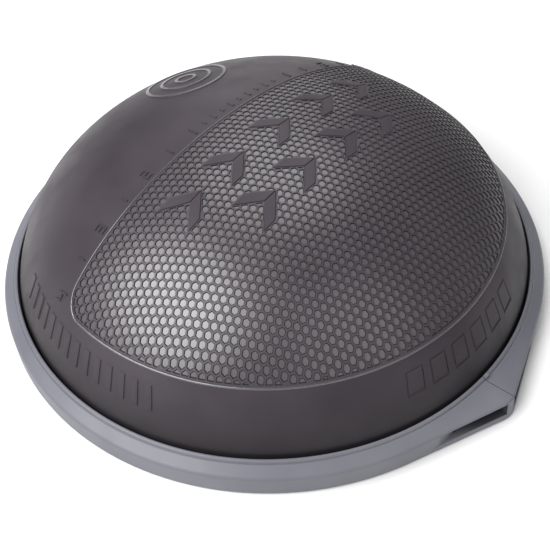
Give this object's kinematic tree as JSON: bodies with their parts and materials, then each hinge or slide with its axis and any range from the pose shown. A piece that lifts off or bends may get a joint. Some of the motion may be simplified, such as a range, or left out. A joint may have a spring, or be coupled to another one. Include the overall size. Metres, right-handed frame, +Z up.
{
  "type": "balance dome trainer",
  "caption": "Air-filled half dome with a honeycomb standing zone, clamped by a two-part ring on a rigid round platform with opposite finger-slot handles, rubber feet and a push-in air plug.",
  "frame": {"origin": "on the floor, under the dome's apex, at the middle of the feet's resting plane", "axes": "+Z up through the dome's apex; +X through the tip of one handle; the air valve faces halfway between -X and +Y"},
  "size_m": [0.693, 0.65, 0.2116],
  "materials": {
    "dome": "satin moulded PVC, charcoal",
    "ring": "fine matte texture, blue grey",
    "deck": "matte black",
    "rubber": "matte black",
    "valve": "satin black",
    "steel": "zinc plated"
  },
  "bodies": {
    "base": {"valve_seat": "valve", "ring_half_front": "ring", "ring_half_back": "ring", "platform_deck": "deck", "traction_pad": "rubber", "foot_1": "rubber", "foot_2": "rubber", "foot_3": "rubber", "foot_4": "rubber", "foot_5": "rubber", "foot_6": "rubber", "foot_7": "rubber", "foot_8": "rubber", "clamp_screw_01": "steel", "clamp_screw_02": "steel", "clamp_screw_03": "steel", "clamp_screw_04": "steel", "clamp_screw_05": "steel", "clamp_screw_06": "steel", "clamp_screw_07": "steel", "clamp_screw_08": "steel", "clamp_screw_09": "steel", "clamp_screw_10": "steel", "clamp_screw_11": "steel", "clamp_screw_12": "steel", "splice_plate_right": "steel", "splice_plate_left": "steel", "splice_screw_right_1": "steel", "splice_screw_right_2": "steel", "splice_screw_left_1": "steel", "splice_screw_left_2": "steel", "grip_liner_right": "rubber", "grip_liner_left": "rubber"},
    "dome": {"dome_bladder": "dome"},
    "plug": {"valve_plug": "valve"}
  },
  "joints": [
    {"name": "dome_press", "type": "slide", "parent": "base", "child": "dome", "axis": [0, 0, -1], "range_m": [0, 0.05], "stiffness_N_per_m": 16000, "springref_m": -0.01, "deforming": ["dome_bladder"]},
    {"name": "plug_pull", "type": "slide", "parent": "base", "child": "plug", "axis": [-0.6433, 0.6433, 0.415], "range_m": [0, 0.035]}
  ]
}
